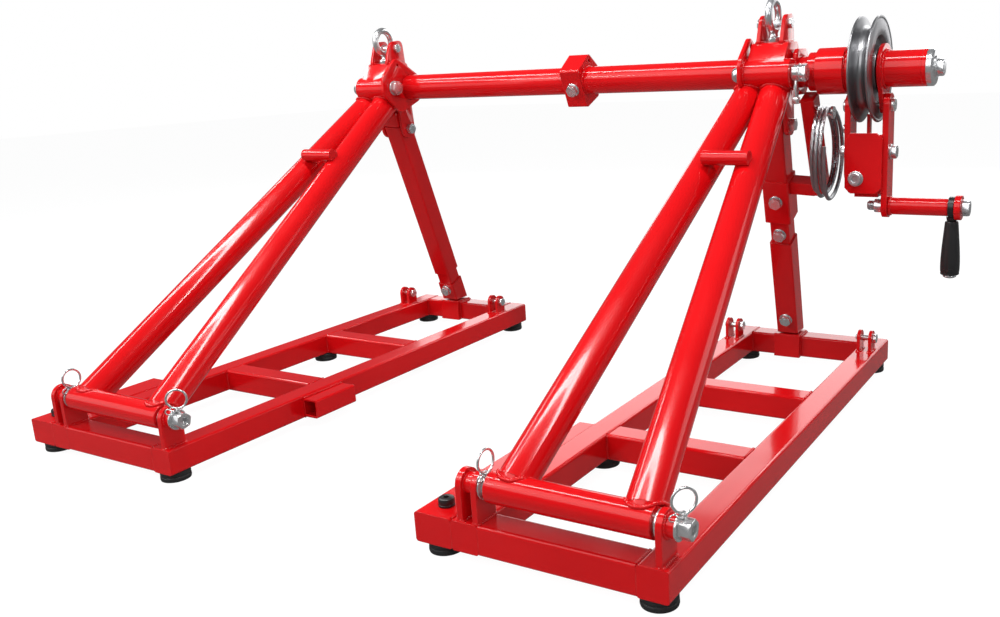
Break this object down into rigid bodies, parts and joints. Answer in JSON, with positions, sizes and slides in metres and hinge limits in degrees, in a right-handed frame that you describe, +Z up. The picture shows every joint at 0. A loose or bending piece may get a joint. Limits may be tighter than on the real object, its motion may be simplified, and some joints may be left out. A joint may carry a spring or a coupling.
{
  "type": "cable drum jack",
  "caption": "Red tubular cable drum jack: paired tilting A-frames on ladder bases carry a spindle with a grooved sheave, winding crank and drop handle.",
  "frame": {"origin": "centre of the footprint on the floor, under the middle of the whole object", "axes": "+X along the spindle towards the crank, +Y from the pivot end to the strut end, +Z up"},
  "size_m": [1.666, 1.18, 0.8374],
  "materials": {
    "red_paint": "gloss",
    "zinc_plate": "satin",
    "turned_steel": "satin",
    "wire_rope": "satin",
    "black_rubber": "matte",
    "black_plastic": "satin"
  },
  "bodies": {
    "base_frames": {"base_outriggers": "red_paint", "tie_sockets": "red_paint", "rubber_feet": "black_rubber", "pivot_brackets": "red_paint", "pivot_pins": "zinc_plate", "rear_lugs": "red_paint", "rear_lug_pins": "zinc_plate", "strut_sockets": "red_paint", "outrigger_screws": "zinc_plate", "left_base_left_rail": "red_paint", "left_base_right_rail": "red_paint", "left_base_front_rail": "red_paint", "left_base_rear_rail": "red_paint", "left_base_cross_rails": "red_paint", "right_base_left_rail": "red_paint", "right_base_right_rail": "red_paint", "right_base_front_rail": "red_paint", "right_base_rear_rail": "red_paint", "right_base_cross_rails": "red_paint"},
    "a_frames": {"pivot_tubes": "red_paint", "leg_braces": "red_paint", "left_head": "red_paint", "right_head": "red_paint", "head_bolts": "zinc_plate", "strut_hinge_bolts": "zinc_plate", "lifting_eyes": "zinc_plate", "left_stand_left_leg": "red_paint", "left_stand_right_leg": "red_paint", "right_stand_left_leg": "red_paint", "right_stand_right_leg": "red_paint"},
    "left_strut_upper_body": {"left_strut_upper": "red_paint"},
    "left_strut_lower_body": {"left_strut_lower": "red_paint", "left_strut_bolt": "zinc_plate"},
    "right_strut_upper_body": {"right_strut_upper": "red_paint", "right_strut_upper_bolts": "zinc_plate", "coil_hanger": "red_paint", "wire_rope_coil": "wire_rope"},
    "right_strut_lower_body": {"right_strut_lower": "red_paint", "right_strut_bolts": "zinc_plate"},
    "spindle": {"spindle_tube": "red_paint", "spindle_collar": "red_paint", "collar_bolt": "zinc_plate", "spindle_sleeve": "red_paint", "drum_sleeve": "red_paint", "spindle_end_cap": "zinc_plate", "fork_pins": "zinc_plate"},
    "sheave_body": {"sheave": "turned_steel"},
    "crank_unit": {"crank_fork": "red_paint", "crank_cover": "red_paint", "crank_bolts": "zinc_plate"},
    "crank_bar_body": {"crank_bar": "red_paint"},
    "handle": {"handle_rod": "zinc_plate"},
    "grip": {"handle_grip": "black_plastic"},
    "clamp_lever_body": {"clamp_lever": "zinc_plate"},
    "left_inner_clip": {"left_inner_ring_clip": "zinc_plate"},
    "left_outer_clip": {"left_outer_ring_clip": "zinc_plate"},
    "left_knob": {"left_locking_knob": "black_plastic"},
    "right_inner_clip": {"right_inner_ring_clip": "zinc_plate"},
    "right_outer_clip": {"right_outer_ring_clip": "zinc_plate"},
    "right_knob": {"right_locking_knob": "black_plastic"}
  },
  "joints": [
    {"name": "frame_tilt", "type": "hinge", "parent": "base_frames", "child": "a_frames", "pos_m": [0, -0.565, 0.125], "axis": [1, 0, 0], "range_deg": [-1, 3]},
    {"name": "left_strut_hinge", "type": "hinge", "parent": "a_frames", "child": "left_strut_upper_body", "pos_m": [-0.583, 0.335, 0.585], "axis": [1, 0, 0], "range_deg": [-2.8, 1]},
    {"name": "left_strut_slide", "type": "slide", "parent": "left_strut_upper_body", "child": "left_strut_lower_body", "axis": [-0.0717, 0.4033, -0.9123], "range_m": [-0.018, 0.054]},
    {"name": "right_strut_hinge", "type": "hinge", "parent": "a_frames", "child": "right_strut_upper_body", "pos_m": [0.437, 0.335, 0.585], "axis": [1, 0, 0], "range_deg": [-2.8, 1]},
    {"name": "right_strut_slide", "type": "slide", "parent": "right_strut_upper_body", "child": "right_strut_lower_body", "axis": [-0.0717, 0.4033, -0.9123], "range_m": [-0.018, 0.054]},
    {"name": "spindle_spin", "type": "hinge", "parent": "a_frames", "child": "spindle", "pos_m": [0.622, 0.315, 0.69], "axis": [1, 0, 0], "continuous": true},
    {"name": "sheave_spin", "type": "hinge", "parent": "spindle", "child": "sheave_body", "pos_m": [0.6385, 0.315, 0.69], "axis": [1, 0, 0], "continuous": true},
    {"name": "fork_swing", "type": "hinge", "parent": "spindle", "child": "crank_unit", "pos_m": [0.6385, 0.315, 0.622], "axis": [1, 0, 0], "range_deg": [-20, 20]},
    {"name": "crank_turn", "type": "hinge", "parent": "crank_unit", "child": "crank_bar_body", "pos_m": [0.7, 0.315, 0.426], "axis": [1, 0, 0], "continuous": true},
    {"name": "handle_swing", "type": "hinge", "parent": "crank_bar_body", "child": "handle", "pos_m": [0.8, 0.315, 0.426], "axis": [1, 0, 0], "range_deg": [-100, 100]},
    {"name": "grip_spin", "type": "hinge", "parent": "handle", "child": "grip", "pos_m": [0.8, 0.315, 0.35], "axis": [0, 0, 1], "continuous": true},
    {"name": "clamp_lever_swing", "type": "hinge", "parent": "a_frames", "child": "clamp_lever_body", "pos_m": [0.51, 0.255, 0.69], "axis": [1, 0, 0], "range_deg": [-25, 45]},
    {"name": "left_inner_clip_lift", "type": "slide", "parent": "base_frames", "child": "left_inner_clip", "axis": [0, 0, 1], "range_m": [0, 0.045]},
    {"name": "left_outer_clip_lift", "type": "slide", "parent": "base_frames", "child": "left_outer_clip", "axis": [0, 0, 1], "range_m": [0, 0.045]},
    {"name": "left_knob_turn", "type": "hinge", "parent": "base_frames", "child": "left_knob", "pos_m": [-0.798, -0.552, 0.07], "axis": [0, 0, 1], "continuous": true},
    {"name": "right_inner_clip_lift", "type": "slide", "parent": "base_frames", "child": "right_inner_clip", "axis": [0, 0, 1], "range_m": [0, 0.045]},
    {"name": "right_outer_clip_lift", "type": "slide", "parent": "base_frames", "child": "right_outer_clip", "axis": [0, 0, 1], "range_m": [0, 0.045]},
    {"name": "right_knob_turn", "type": "hinge", "parent": "base_frames", "child": "right_knob", "pos_m": [0.222, -0.552, 0.07], "axis": [0, 0, 1], "continuous": true}
  ],
  "couplings": [
    {"joint": "left_strut_hinge", "follows": "frame_tilt", "ratio": -0.89784},
    {"joint": "left_strut_slide", "follows": "frame_tilt", "m_per_rad": 1.0117},
    {"joint": "right_strut_hinge", "follows": "frame_tilt", "ratio": -0.89784},
    {"joint": "right_strut_slide", "follows": "frame_tilt", "m_per_rad": 1.0117}
  ]
}
